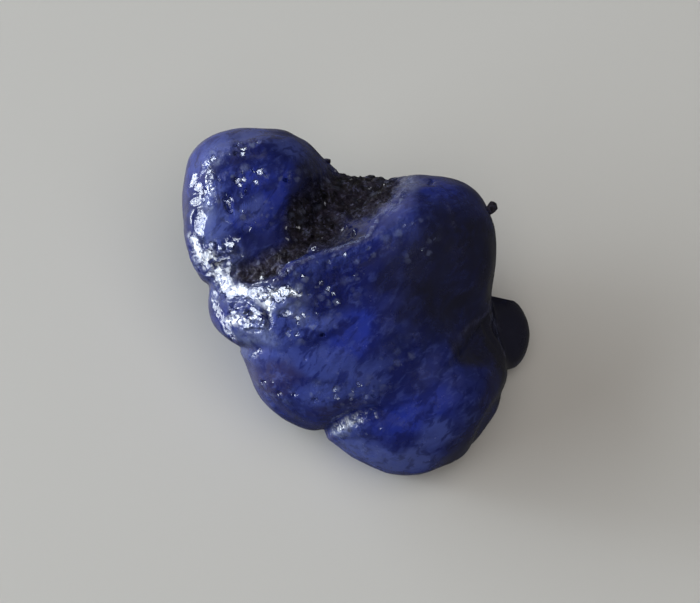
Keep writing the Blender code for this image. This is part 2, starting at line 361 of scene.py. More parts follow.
# ridges scuffed pale where they stand proud, with painted highlight along their crests, as points along each,
# in mm on the broad face
SCUFFED_AND_HIGHLIT_RIDGES = (
    Ridge(((-3.4, 1.3), (-2.6, 1.95), (-1.2, 2.6), (-0.3, 2.85), (0.5, 3.25)), 0.22, 1.0),
    Ridge(((0.5, 3.25), (1.0, 3.6), (1.65, 4.5), (2.4, 5.1)), 0.22, 1.0),
    Ridge(((2.0, 4.9), (2.6, 5.5), (3.0, 6.2), (3.4, 6.8)), 0.75, 0.8),
    Ridge(((-7.1, 7.3), (-6.3, 7.9), (-5.4, 8.1), (-4.6, 7.8)), 0.5, 0.4),
    Ridge(((5.3, 5.2), (5.6, 4.6), (5.75, 4.0)), 0.2, 0.4),
    Ridge(((7.8, -0.55), (7.15, -1.1), (6.3, -1.65), (5.75, -2.2), (5.6, -2.75), (5.55, -3.3)), 0.2, 0.35),
    Ridge(((7.8, -0.2), (7.95, -1.1), (8.3, -2.0), (8.65, -2.95)), 0.2, 0.6),
)
# streaks where the skin is bruised into glittering splinters; their near-white base colour is partly bruising
# and partly painted highlight
BRUISE_AND_GLINT_STREAKS = (
    Ridge(
        ((-7.4, 2.3), (-7.05, 1.75), (-6.75, 0.95), (-6.2, 0.6), (-5.5, 0.5), (-4.8, 0.2), (-4.2, -0.3)),
        0.5,
        1.0,
    ),
    Ridge(((-4.2, -0.3), (-4.1, -1.0)), 0.22, 0.9),
    Ridge(((-4.6, 0.1), (-3.6, 0.45), (-2.6, 0.33)), 0.32, 1.0),
    Ridge(((-6.4, -1.2), (-5.5, -1.1), (-4.8, -0.95)), 0.45, 1.0),
    Ridge(((-8.4, 3.4), (-8.1, 2.5), (-7.7, 1.7)), 0.3, 0.9),
    Ridge(((-0.75, -7.1), (-0.3, -6.8), (0.4, -6.45), (1.4, -6.1)), 0.28, 1.0),
)
# the z in mm over which the front's finishes take over from the back's, and the z for the front's rock
FACE_SIDE = (-3.8, -2.2)
ROCK_SIDE = (-5.6, -4.2)
STUB_CORNER = (7.9, 0.3)

Grain = namedtuple("Grain", "place radius proud seed")

GRAIN_GRID_SIDE = 10
GRAIN_FLATS = 14
# crumbs of the rock on the stone's edge, and how far each one's middle stands out of it, in mm
GRAINS = (Grain((7.6, 4.9), 0.25, 0.03, 4), Grain((-1.2, 7.7), 0.13, -0.07, 9))

# ---- colours, as linear red, green and blue ----

NAVY = (0.0150, 0.0245, 0.170)
INK_BLUE = (0.0090, 0.0150, 0.100)
ROYAL_BLUE = (0.0130, 0.0300, 0.320)
# cloudy pale blue, also laid as painted sheen on the head's rims and the foot's lower edge
MILKY_AND_SHEEN_BLUE = (0.0480, 0.0720, 0.310)
VIOLET = (0.0205, 0.0195, 0.092)
DEEP_BLUE = (0.0032, 0.0075, 0.100)
# near-black blue, laid as painted shade on the front and as a dark tone at random on the back
SHADE_AND_DARK_BLUE = (0.0095, 0.0098, 0.0245)
ROCK_BLACK = (0.0170, 0.0150, 0.0195)
ROCK_GREY = (0.050, 0.046, 0.068)
ROCK_VIOLET = (0.034, 0.029, 0.052)
# grey-lilac of scuffs and of painted highlight on ridge crests
SCUFF_AND_HIGHLIGHT_LILAC = (0.130, 0.135, 0.265)
# pale blue of frosted cracks, also painted as a halo round the highlights
FROST_AND_HALO_BLUE = (0.190, 0.230, 0.400)
# near-white of bruised skin, partly painted highlight standing in for glints
BRUISE_AND_GLINT_WHITE = (0.720, 0.760, 0.860)
FLOOR_GREY = (0.635, 0.632, 0.615)

IOR_OF_SAPPHIRE = 1.77

# ---- camera and light, in metres where a name gives no unit ----

IMAGE_WIDTH_PX = 700
IMAGE_HEIGHT_PX = 603
STONE_ORIGIN_PX = (345.0, 300.0)
MM_PER_PX = 0.055
CAMERA_DISTANCE = 0.160
SENSOR_MM = 36.0

WINDOW_PLACE = (-0.45, 0.09, 0.065)
WINDOW_SIZE = (0.11, 0.13)
SKY_PLACE = (-0.45, 0.07, 0.155)
SKY_SIZE = (0.80, 0.35)
FILL_PLACE = (0.1, -0.2, 0.7)
FILL_SIZE = (0.8, 0.8)
LIGHT_AIM = (0.0, 0.0, 0.01)
WINDOW_WATTS, SKY_WATTS, FILL_WATTS = 0.9, 3.0, 2.9
DAYLIGHT = (0.92, 1.0, 1.05)
LAMPLIGHT = (1.0, 0.94, 0.88)
# where the pale side of the room lies, and the room's strength on its dim side and on that side
PALE_SIDE = (-0.80, 0.55, -0.24)
ROOM_STRENGTH = (0.05, 0.38)
ROOM_COLOUR = (1.0, 0.98, 0.95, 1.0)

FLOOR_HALF = 1.5
FLOOR_ROUGHNESS = 0.7
FLOOR_GLOSS = 0.2


# ---- numbers spread over points ----


def smooth_step(value, low, high):
    """0 below low, 1 above high, and the cubic 3t^2 - 2t^3 between them."""
    t = np.clip((value - low) / (high - low), 0.0, 1.0)
    return t * t * (3.0 - 2.0 * t)


def corner_values(corner, seed):
    """A value from -1 to 1 for each whole-number corner: what a large sine leaves past its whole part."""
    mixed = np.sin(corner @ np.array(HASH_MIX) + HASH_SEED_STEP * seed) * HASH_SCALE
    return 2.0 * (mixed - np.floor(mixed)) - 1.0


def smooth_noise(points, cell, seed):
    """Noise from -1 to 1: corner values of cubes `cell` mm wide, blended along each axis by 3t^2 - 2t^3."""
    scaled = points / cell
    corner = np.floor(scaled)
    t = scaled - corner
    t = t * t * (3.0 - 2.0 * t)
    noise = np.zeros(len(points))
    for step in itertools.product((0.0, 1.0), repeat=3):
        weight = np.prod(np.where(step, t, 1.0 - t), axis=-1)
        noise += weight * corner_values(corner + step, seed)
    return noise


def layered_noise(points, cell, seed):
    """Smooth noise with finer layers added, each half as wide and half as strong as the one before."""
    noise = sum(smooth_noise(points, cell / 2**k, seed + k) / 2**k for k in range(NOISE_LAYERS))
    return noise / (2.0 - 2.0 ** (1 - NOISE_LAYERS))


def nearest_site(points, cell, seed):
    """Offset in mm from the nearest of scattered sites, and three values from -1 to 1 that the site keeps.

    There is one site to each cube `cell` mm wide, shaken off the cube's middle.
    """
    scaled = points / cell
    corner = np.floor(scaled)
    nearest = np.full(len(points), np.inf)
    offset = np.zeros_like(points)
    keeps = np.zeros_like(points)
    for step in itertools.product((-1.0, 0.0, 1.0), repeat=3):
        cube = corner + step
        shake = np.stack([corner_values(cube, seed + k) for k in range(3)], axis=-1)
        away = scaled - (cube + 0.5 + 0.45 * shake)
        distance = (away**2).sum(-1)
        closer = distance < nearest
        nearest[closer] = distance[closer]
        offset[closer] = away[closer] * cell
        keeps[closer] = np.roll(shake, 1, axis=-1)[closer]
    return offset, keeps


def path_distance(points, path):
    """Distance in mm across the face from each point to a path of straight lengths."""
    flat = points[:, :2]
    nearest = np.full(len(points), np.inf)
    for start, end in zip(np.array(path[:-1]), np.array(path[1:])):
        run = end - start
        along = np.clip((flat - start) @ run / (run @ run), 0.0, 1.0)
        nearest = np.minimum(nearest, np.linalg.norm(flat - start - along[:, None] * run, axis=-1))
    return nearest


def patch_reach(points, patch):
    """Distance across the face from a patch's middle, 1 on the turned ellipse that bounds it."""
    angle = math.radians(patch.turn)
    dx, dy = points[:, 0] - patch.x, points[:, 1] - patch.y
    along = (dx * math.cos(angle) + dy * math.sin(angle)) / patch.half_length
    across = (dy * math.cos(angle) - dx * math.sin(angle)) / patch.half_width
    return np.hypot(along, across)


def patch_mask(points, patches):
    """The strongest of the patches at each point, each with a soft edge."""
    mask = np.zeros(len(points))
    for patch in patches:
        mask = np.maximum(mask, patch.strength * (1.0 - smooth_step(patch_reach(points, patch), 0.55, 1.2)))
    return mask


def ridge_mask(points, ridges):
    """The strongest of the ridges at each point, each fading out across its half width."""
    bands = [
        ridge.strength * (1.0 - smooth_step(path_distance(points, ridge.path), 0.0, ridge.half_width))
        for ridge in ridges
    ]
    return np.max(bands, axis=0)


# ---- the stone's skin ----


def lobe_distance(points, lobe):
    """Roughly the distance in mm from a lobe's skin, negative inside it."""
    angle = math.radians(lobe.turn)
    offset = points - np.array(lobe.centre)
    along = offset[..., 0] * math.cos(angle) + offset[..., 1] * math.sin(angle)
    across = offset[..., 1] * math.cos(angle) - offset[..., 0] * math.sin(angle)
    local = np.abs(np.stack([along, across, offset[..., 2]], axis=-1))
    radii = np.array(lobe.radii)
    p = lobe.squareness
    size = ((local / radii) ** p).sum(-1) ** (1.0 / p)
    slope = np.linalg.norm(local / radii**2, axis=-1) / np.maximum(size, 1e-6)
    return (size - 1.0) / np.maximum(slope, 1e-6)


def rockiness(points):
    """1 where the dark rock makes the skin and 0 where the crystal does, from which of them lies nearer."""
    crystal = np.min([lobe_distance(points, lobe) for lobe in CRYSTAL.values()], axis=0)
    return smooth_step(crystal - lobe_distance(points, ROCK), *ROCK_EDGE)


def seam_depth(points, seam):
    """How far a seam lowers the skin: a narrow notch d / (1 + (g / w)^2), with one lip standing proud."""
    dx = points[..., 0] - seam.start[0]
    line = seam.start[1] + seam.slope * dx + seam.bend * dx**2
    steepness = np.hypot(1.0, seam.slope + 2.0 * seam.bend * dx)
    gap = (points[..., 1] - line) / steepness
    fade = 1.0 - smooth_step(points[..., 0], *seam.fade)
    notch = seam.depth / (1.0 + (gap / seam.width) ** 2)
    lip = seam.lip * np.tanh(gap / LIP_RISE) * np.exp(-np.abs(gap) / LIP_WIDTH)
    return (notch - lip) * fade


def waves(points, draw, amplitude, wavelength, count):
    """Uneven height in mm: sine waves of one length, in directions and phases drawn from a seeded source."""
    height = np.zeros(points.shape[:-1])
    for _ in range(count):
        way = draw.normal(size=3)
        way *= 2.0 * math.pi / wavelength / np.linalg.norm(way)
        height += np.sin(points @ way + draw.uniform(0.0, 2.0 * math.pi))
    return height * amplitude / math.sqrt(count)


def stone_field(points):
    """Roughly the distance in mm from the stone's skin, negative inside.

    The soft union of distances d is -k log(sum(exp(-d / k))), with the creases' softness as k.
    """
    distances = np.stack([lobe_distance(points, lobe) for lobe in (*CRYSTAL.values(), ROCK)])
    nearest = distances.min(0)
    field = nearest - CREASE_SOFTNESS * np.log(np.exp((nearest - distances) / CREASE_SOFTNESS).sum(0))
    for hollow in HOLLOWS.values():
        bite = -lobe_distance(points, hollow)
        field = HOLLOW_SOFTNESS * np.logaddexp(field / HOLLOW_SOFTNESS, bite / HOLLOW_SOFTNESS)
    for seam in SEAMS.values():
        field += seam_depth(points, seam)
    draw = np.random.default_rng(SEED)
    for swell in SWELL_WAVES:
        field += waves(points, draw, *swell)
    return field


def cube_sphere(side):
    """(unit directions, quads) of a closed sphere made from the six faces of a cube, facing outwards.

    On each face two parameters u and v run from -1 to 1, and the direction is (1, tan(u pi / 4),
    tan(v pi / 4)) made one long, so that the squares stay nearly even. Points on shared edges are merged.
    """
    steps = np.linspace(-1.0, 1.0, side + 1)
    u, v = np.meshgrid(np.tan(steps * math.pi / 4.0), np.tan(steps * math.pi / 4.0), indexing="ij")
    index = np.arange((side + 1) ** 2).reshape(side + 1, side + 1)
    quad = np.stack([index[:-1, :-1], index[1:, :-1], index[1:, 1:], index[:-1, 1:]], axis=-1).reshape(-1, 4)
    places, quads = [], []
    for axis, sign in itertools.product(range(3), (1.0, -1.0)):
        face = np.stack([np.full_like(u, sign), u, v], axis=-1).reshape(-1, 3)
        places.append(np.roll(face, axis, axis=-1))
        quads.append((quad if sign > 0 else quad[:, ::-1]) + len(quads) * index.size)
    places = np.concatenate(places)
    _, first, merged = np.unique(np.round(places, 6), axis=0, return_index=True, return_inverse=True)
    directions = places[first] / np.linalg.norm(places[first], axis=1, keepdims=True)
    return directions, merged.reshape(-1)[np.concatenate(quads)]


def lean(points):
    """Turns points about +X by the angle at which the stone leans back."""
    return points @ np.array(Matrix.Rotation(LEAN_BACK, 3, "X")).T


def skin_points(directions):
    """The skin's outermost points along unit directions from the heart, stopped at the flat it rests on.

    Each walks inwards from REACH by STRIDE times the field until it is inside, then halves its last step.
    """
    low = np.full(len(directions), REACH)
    high = low
    outside = np.full(len(directions), True)
    for _ in range(WALK_STEPS):
        field = stone_field(HEART + low[:, None] * directions)
        outside &= field > 0.0
        high = np.where(outside, low, high)
        low = np.where(outside, low - np.maximum(STRIDE * field, LEAST_STEP), low)
    for _ in range(BISECTIONS):
        middle = (low + high) / 2.0
        inside = stone_field(HEART + middle[:, None] * directions) < 0.0
        low, high = np.where(inside, middle, low), np.where(inside, high, middle)
    fall = lean(directions)[:, 2]
    to_base = np.where(fall < 0.0, (BASE_CUT - lean(HEART)[2]) / np.minimum(fall, -1e-9), np.inf)
    return HEART + np.minimum(low, to_base)[:, None] * directions, to_base < low


def outward(points):
    """Unit normals from the slope of the field, by a small step each way along each axis."""
    steps = SLOPE_STEP * np.eye(3)
    slope = np.stack([stone_field(points + step) - stone_field(points - step) for step in steps], axis=-1)
    return slope / np.linalg.norm(slope, axis=1, keepdims=True)


def finish_and_painted_light_masks(points):
    """How strong each finish and each patch of painted shade, sheen and highlight is at each point, its edges
    made ragged by noise before patches are read.
    """
    ragged = np.stack([layered_noise(points, 1.2, seed) for seed in (3, 7, 13)], axis=-1)
    crisp = points + 0.2 * ragged
    cloudy = points + 0.55 * ragged
    face = smooth_step(points[:, 2], *FACE_SIDE)
    behind = 1.0 - face
    drift = layered_noise(points, 3.4, 21)
    drift_b = layered_noise(points, 2.7, 33)
    spread = {
        "vivid": (cloudy, VIVID_PATCHES, smooth_step(drift, 0.1, 0.5)),
        # cloudy tone, with painted sheen on the head's rims and the foot's lower edge
        "milky_and_sheen": (cloudy, MILKY_AND_SHEEN_PATCHES, 0.8 * smooth_step(-drift, 0.1, 0.5)),
        "violet": (cloudy, VIOLET_PATCHES, 0.7 * smooth_step(drift_b, 0.2, 0.6)),
        # deep saturated blue, with painted shade along the creases
        "deep": (cloudy, DEEP_TONE_AND_CREASE_SHADE_PATCHES, smooth_step(drift_b - drift, 0.1, 0.6)),
        # painted shade on the front, a dark tone at random on the back
        "shade_and_dark_tone": (cloudy, PAINTED_SHADE_PATCHES, 0.9 * smooth_step(-drift_b, 0.1, 0.5)),
        "rock": (crisp, ROCK_PATCHES, rockiness(crisp)),
        "hackle": (crisp, HACKLE_PATCHES, smooth_step(drift_b, 0.3, 0.5)),
        # frosted haze, partly a painted halo and highlight
        "haze_and_halo": (cloudy, HAZE_AND_HALO_PATCHES, 0.3 * smooth_step(drift_b, 0.2, 0.5)),
        "pitted": (crisp, PITTED_PATCHES, smooth_step(drift, 0.0, 0.4)),
    }
    masks = {}
    for name, (warped, patches, back) in spread.items():
        masks[name] = face * patch_mask(warped, patches) + behind * back
    for name, ridges in (("scuff_and_highlight", SCUFFED_AND_HIGHLIT_RIDGES), ("bruise_and_glint", BRUISE_AND_GLINT_STREAKS)):
        masks[name] = face * ridge_mask(crisp, ridges)
    rock_face = smooth_step(points[:, 2], *ROCK_SIDE) * patch_mask(crisp, ROCK_PATCHES)
    masks["rock"] = np.maximum(masks["rock"], rock_face) * (1.0 - 0.8 * masks["scuff_and_highlight"])
    # painted shade over the stub and the corner right of and below STUB_CORNER
    right_of_corner = smooth_step(points[:, 0] - STUB_CORNER[0], 0.0, 0.6)
    below_corner = smooth_step(STUB_CORNER[1] - points[:, 1], 0.0, 0.6)
    masks["shade_and_dark_tone"] = np.maximum(masks["shade_and_dark_tone"], right_of_corner * below_corner)
    return masks


def crumbs(points):
    """Height in mm of lumpy rock: grains of two sizes, each sunk by its own amount, with clefts between."""
    depth = np.zeros(len(points))
    ragged = points + 0.25 * np.stack([smooth_noise(points, 0.5, seed) for seed in (23, 29, 31)], axis=-1)
    for cell, bulge, seed in ((0.95, 0.3, 81), (0.4, 0.16, 83)):
        offset, keeps = nearest_site(ragged, cell, seed)
        fall = np.clip((offset**2).sum(-1) / (0.6 * cell) ** 2, 0.0, 1.0)
        depth += bulge * (0.6 * fall + 0.4 * (1.0 + keeps[:, 0]))
    return -depth


def past_edge(points, edge):
    """How far in mm each point lies past a straight edge across the face."""
    (x, y), (way_x, way_y) = edge
    return way_x * (points[:, 0] - x) + way_y * (points[:, 1] - y)


def armpit(points):
    """Depth in mm of the corner sunk between the shoulder's lower edge and the stub, with soft edges."""
    below_shoulder = past_edge(points, SHOULDER_EDGE)
    sunk = smooth_step(below_shoulder, 0.0, 0.3) * (1.0 - smooth_step(below_shoulder, 0.6, 2.6))
    beside_stub = smooth_step(past_edge(points, STUB_EDGE), 0.0, 0.3)
    return CORNER_DEPTH * sunk * beside_stub * smooth_step(points[:, 1], -4.6, -2.2)


def hackly(points, normals, bruise_and_glint):
    """Height in mm of broken skin: each cell of two sizes is a plane that faces near FLAKE_FACING."""
    height = np.zeros(len(points))
    ragged = points + 0.12 * np.stack([smooth_noise(points, 0.35, seed) for seed in (6, 10, 16)], axis=-1)
    for cell, spread, most, seed in ((0.9, 0.16, 0.14, 41), (0.42, 0.3, 0.07, 57)):
        offset, keeps = nearest_site(ragged, cell, seed)
        facing = np.array(FLAKE_FACING) + spread * (1.0 - 0.6 * bruise_and_glint[:, None]) * keeps
        slope = (offset * facing).sum(-1) / np.maximum((normals * facing).sum(-1), 0.4)
        height -= np.clip(slope, -most, most)
    return height


def relief(points, normals, masks):
    """Fine relief in mm along the normal: broken facets, pits, ripples, crumbs and scuffs."""
    ragged = points + 0.12 * smooth_noise(points, 0.4, 19)[:, None]
    offset, keeps = nearest_site(ragged, 0.9, 71)
    radius = 0.2 + 0.1 * keeps[:, 0]
    bowl = np.clip(1.0 - (offset**2).sum(-1) / radius**2, 0.0, 1.0)
    pits = -PIT_DEPTH * bowl * masks["pitted"] * (keeps[:, 1] > -0.3)
    ripples = RIPPLE_DEPTH * (layered_noise(points, 1.5, 91) - 1.0)
    broken = masks["hackle"] * (hackly(points, normals, masks["bruise_and_glint"]) - HACKLE_SINK)
    height = broken + pits + ripples - armpit(points)
    return height + masks["rock"] * (crumbs(points) - height) + SCUFF_RISE * masks["scuff_and_highlight"]


def flaked(points, normals, height):
    """(height, mask) with the flakes broken off, each a plane turned by its strength towards FLAKE_FACING.

    A plane through the flake's middle c with unit normal f meets the line p + t n at t = (c - p).f / (n.f),
    and t is lowered until none of it stands above the skin.
    """
    facing = np.array(FLAKE_FACING) / np.linalg.norm(FLAKE_FACING)
    front = (points[:, 2] > ROCK_SIDE[1]) & (normals[:, 2] > 0.1)
    ragged = points + 0.11 * np.stack([smooth_noise(points, 0.35, seed) for seed in (5, 9, 15)], axis=-1)
    mask = np.zeros(len(points))
    for flake in FLAKES:
        reach = np.where(front, patch_reach(ragged, flake), np.inf)
        middle = np.argmin(reach)
        lean_way = normals[middle] + flake.strength * (facing - normals[middle])
        lean_way /= np.linalg.norm(lean_way)
        inside = reach <= max(reach[middle], 1.5)
        share = 1.0 - smooth_step(reach, 0.8, 1.5)
        plane = ((points[middle] - points) @ lean_way) / np.maximum(normals @ lean_way, 0.3)
        plane = np.maximum(plane - plane[inside].max(), -DEEPEST_FLAKE)
        height = height + share * (plane - height)
        mask = np.maximum(mask, flake.strength * share)
    return height, mask


# ---- meshes ----


def mesh_object(name, points, quads):
    """An object at the origin with its place in its mesh, smooth shaded; points are in metres."""
    mesh = bpy.data.meshes.new(name)
    mesh.from_pydata(points, [], quads)
    mesh.shade_smooth()
    mesh.validate()
    piece = bpy.data.objects.new(name, mesh)
    bpy.context.scene.collection.objects.link(piece)
    return piece


def add_mask(piece, name, values):
    """Keeps a value for each point of the piece's mesh, which the shader reads by name."""
    attribute = piece.data.attributes.new(name, "FLOAT", "POINT")
    attribute.data.foreach_set("value", values.astype(np.float32))


def build_stone():
    """The crystal, its stray grains of rock and the place of the stone's own origin.

    The skin's points are moved by their relief, leaned back and fitted to the solid's box.
    """
    directions, quads = cube_sphere(GRID_SIDE)
    directions += np.array(GRID_BIAS)
    directions /= np.linalg.norm(directions, axis=1, keepdims=True)
    points, on_base = skin_points(directions)
    normals = outward(points)
    masks = finish_and_painted_light_masks(points)
    height, masks["flake"] = flaked(points, normals, relief(points, normals, masks))
    shaped = lean(points + normals * np.where(on_base, 0.0, height)[:, None])
    shaped[:, 2] = np.maximum(shaped[:, 2], BASE_CUT)
    low, high = shaped.min(0), shaped.max(0)
    box_low, box_high = (np.array(corner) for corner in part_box(NODE))
    fit = (box_high - box_low) / (high - low)
    crystal = mesh_object("sapphire_crystal", box_low + (shaped - low) * fit, quads)
    for name, values in masks.items():
        add_mask(crystal, name, values)
    ball, ball_quads = cube_sphere(GRAIN_GRID_SIDE)
    crumbled = np.concatenate([grain_points(grain, points, normals, ball) for grain in GRAINS])
    grain_quads = np.concatenate([ball_quads + k * len(ball) for k in range(len(GRAINS))])
    grains = mesh_object("rock_grains", box_low + (lean(crumbled) - low) * fit, grain_quads)
    return crystal, grains, Vector(box_low - low * MM)


def grain_points(grain, skin, normals, directions):
    """A crumb with flat faces: a ball cut back to 1 / (direction . flat) on the nearest of a few flats."""
    off_edge = np.hypot(*(skin[:, :2] - np.array(grain.place)).T) + 4.0 * np.abs(normals[:, 2])
    middle = np.argmin(off_edge)
    flats = np.random.default_rng(grain.seed).normal(size=(GRAIN_FLATS, 3))
    flats /= np.linalg.norm(flats, axis=1, keepdims=True)
    reach = 1.0 / np.maximum(directions @ flats.T, 0.5).max(1)
    return skin[middle] + normals[middle] * grain.proud + grain.radius * reach[:, None] * directions


# ---- shader nodes ----


def place(tree, kind, inputs=None, **settings):
    """A new shader node; inputs gives its sockets, by name or number, a value or another node's output."""
    node = tree.nodes.new("ShaderNode" + kind)
    for name, value in settings.items():
        setattr(node, name, value)
    for key, value in (inputs or {}).items():
        if isinstance(value, bpy.types.NodeSocket):
            tree.links.new(value, node.inputs[key])
        else:
            node.inputs[key].default_value = value
    return node


def calculate(tree, operation, *values):
    """One step of arithmetic on numbers or sockets."""
    return place(tree, "Math", dict(enumerate(values)), operation=operation).outputs[0]


def times(tree, first, second):
    """The product of two values."""
    return calculate(tree, "MULTIPLY", first, second)


def greater(tree, first, second):
    """The greater of two values."""
    return calculate(tree, "MAXIMUM", first, second)


def fade(tree, amount, under, over):
    """The value `over` laid on `under` by an amount from 0 to 1."""
    return place(tree, "Mix", {0: amount, 2: under, 3: over}, data_type="FLOAT").outputs[0]


def combine(tree, operation, *vectors, output=0):
    """One step of vector arithmetic; output 0 is a vector and 1 a number."""
    return place(tree, "VectorMath", dict(enumerate(vectors)), operation=operation).outputs[output]


def blend(tree, amount, under, over):
    """The colour `over` laid on `under` by an amount from 0 to 1."""
    under, over = ((*c, 1.0) if isinstance(c, tuple) else c for c in (under, over))
    return place(tree, "Mix", {0: amount, 6: under, 7: over}, data_type="RGBA").outputs[2]


def remap(tree, value, from_low, from_high, to_low=0.0, to_high=1.0):
    """A value carried smoothly from one range to another and held at its ends."""
    sockets = {0: value, 1: from_low, 2: from_high, 3: to_low, 4: to_high}
    return place(tree, "MapRange", sockets, interpolation_type="SMOOTHSTEP").outputs[0]


def noise(tree, vector, scale, detail=3.0, roughness=0.5, distortion=0.0):
    """A noise node, with scale in cells to a millimetre."""
    names = ("Vector", "Scale", "Detail", "Roughness", "Distortion")
    return place(tree, "TexNoise", dict(zip(names, (vector, scale, detail, roughness, distortion))))


def threads(tree, vector, scale, width):
    """Thin wandering lines, from 0 to 1, where a noise crosses its middle value."""
    swirls = noise(tree, vector, scale, 3.0, 0.6, 0.8).outputs[0]
    off_middle = calculate(tree, "ABSOLUTE", calculate(tree, "SUBTRACT", swirls, 0.5))
    return remap(tree, off_middle, width, 0.3 * width)


def mask(tree, name):
    """One of the masks kept on the mesh, read by name."""
    return place(tree, "Attribute", attribute_name=name).outputs["Fac"]


def new_material(name):
    """(material, node tree, shader) of a new plain material."""
    material = bpy.data.materials.new(name)
    material.use_nodes = True
    return material, material.node_tree, material.node_tree.nodes["Principled BSDF"]


def stone_vector(tree, origin):
    """Object coordinates turned back into the stone's own frame, in millimetres."""
    upright = Matrix.Rotation(-LEAN_BACK, 3, "X")
    on_object = place(tree, "TexCoord").outputs["Object"]
    sockets = {
        "Vector": on_object,
        "Scale": (1.0 / MM,) * 3,
        "Rotation": (-LEAN_BACK, 0.0, 0.0),
        "Location": -(upright @ origin) / MM,
    }
    return place(tree, "Mapping", sockets).outputs["Vector"]


def crumbly_rock_group():
    """Dark crumbly rock: colour, roughness and height in mm, from broken grains and a finer grit, with glints
    partly painted into its colour as pale specks and threads.
    """
    group = bpy.data.node_groups.new("crumbly_rock", "ShaderNodeTree")
    group.interface.new_socket("Vector", in_out="INPUT", socket_type="NodeSocketVector")
    outputs = {"Color": "NodeSocketColor", "Roughness": "NodeSocketFloat", "Height": "NodeSocketFloat"}
    for name, kind in outputs.items():
        group.interface.new_socket(name, in_out="OUTPUT", socket_type=kind)
    vector = group.nodes.new("NodeGroupInput").outputs["Vector"]
    grit = noise(group, vector, 5.0, 5.0, 0.65).outputs[0]
    patchy = noise(group, vector, 1.4, 4.0, 0.6).outputs[0]
    mottles = noise(group, vector, 0.8, 4.0, 0.6, 0.5).outputs[0]
    coarse = splinters(group, vector, 0.5, ROCK_FACING, 1.0)
    grains = calculate(group, "ADD", coarse, splinters(group, vector, 0.2, ROCK_FACING, 0.6))
    height = calculate(group, "MULTIPLY_ADD", grit, SHADED_GRIT, grains)
    grey = times(group, remap(group, grit, 0.46, 0.66), remap(group, patchy, 0.42, 0.58, 0.1, 1.0))
    colour = blend(group, remap(group, mottles, 0.4, 0.58), ROCK_BLACK, ROCK_VIOLET)
    colour = blend(group, grey, colour, ROCK_GREY)
    # pale lilac threads, partly painted glints
    threads_and_glints = times(group, threads(group, vector, 1.5, 0.025), remap(group, patchy, 0.42, 0.58))
    colour = blend(group, times(group, threads_and_glints, 0.8), colour, SCUFF_AND_HIGHLIGHT_LILAC)
    # painted glints: tiny near-white specks in the base colour of the shaded rock
    painted_glints = specks(group, vector, 0.5, 0.2)[1]
    colour = blend(group, painted_glints, colour, BRUISE_AND_GLINT_WHITE)
    rough = remap(group, grit, 0.5, 0.62, 0.6, 0.15)
    out = group.nodes.new("NodeGroupOutput")
    group.links.new(colour, out.inputs["Color"])
    group.links.new(rough, out.inputs["Roughness"])
    group.links.new(height, out.inputs["Height"])
    return group


def use_group(tree, group, inputs):
    """A node that runs a node group on other nodes' outputs."""
    node = tree.nodes.new("ShaderNodeGroup")
    node.node_tree = group
    for name, value in inputs.items():
        tree.links.new(value, node.inputs[name])
    return node


def splinters(tree, vector, cell, facing, spread):
    """Splintered skin in mm: each cell's plane, -(offset . way), turns the normal towards the cell's way."""
    cells = place(tree, "TexVoronoi", {"Vector": vector, "Scale": 1.0 / cell}, feature="F1")
    offset = combine(tree, "SUBTRACT", vector, cells.outputs["Position"])
    stray = combine(tree, "SUBTRACT", cells.outputs["Color"], (0.5, 0.5, 0.5))
    way = combine(tree, "MULTIPLY_ADD", stray, (spread, spread, spread), facing)
    return times(tree, combine(tree, "DOT_PRODUCT", offset, way, output=1), -1.0)


def specks(tree, vector, cell, radius):
    """(amount, glint) of bruised specks, one to a cell at most; glint picks those that catch the light. Where
    they are laid as pale colour, they are partly painted glints.
    """
    warp = combine(tree, "SUBTRACT", noise(tree, vector, 4.0, 2.0).outputs["Color"], (0.5, 0.5, 0.5))
    ragged = combine(tree, "MULTIPLY_ADD", warp, (0.35, 0.35, 0.35), vector)
    cells = place(tree, "TexVoronoi", {"Vector": ragged, "Scale": 1.0 / cell}, feature="F1")
    keeps = place(tree, "SeparateColor", {0: cells.outputs["Color"]})
    reach = times(tree, keeps.outputs[0], radius / cell)
    spot = calculate(tree, "DIVIDE", cells.outputs["Distance"], greater(tree, reach, 0.02))
    amount = times(tree, remap(tree, spot, 1.0, 0.35), keeps.outputs[1])
    glint = times(tree, remap(tree, spot, 0.75, 0.45), remap(tree, keeps.outputs[2], 0.65, 0.75))
    return amount, glint


def turned_normal(tree, amount):
    """The skin's own normal, turned by an amount from 0 to 1 to the way that the flakes face."""
    facing = Matrix.Rotation(LEAN_BACK, 3, "X") @ Vector(FLAKE_FACING).normalized()
    kinds = {"vector_type": "NORMAL", "convert_from": "OBJECT", "convert_to": "WORLD"}
    toward = place(tree, "VectorTransform", {"Vector": facing}, **kinds).outputs[0]
    sockets = {0: amount, 4: place(tree, "NewGeometry").outputs["Normal"], 5: toward}
    return combine(tree, "NORMALIZE", place(tree, "Mix", sockets, data_type="VECTOR").outputs[1])


def streaked(tree, vector, scale, turn, stretch, detail=4.0):
    """Noise drawn out along a line turned about the face, from 0 to 1."""
    sockets = {"Vector": vector, "Angle": -math.radians(turn)}
    turned = place(tree, "VectorRotate", sockets, rotation_type="Z_AXIS")
    drawn = combine(tree, "MULTIPLY", turned.outputs[0], (1.0 / stretch, 1.0, 1.0))
    return noise(tree, drawn, scale, detail, 0.6, 0.6).outputs[0]


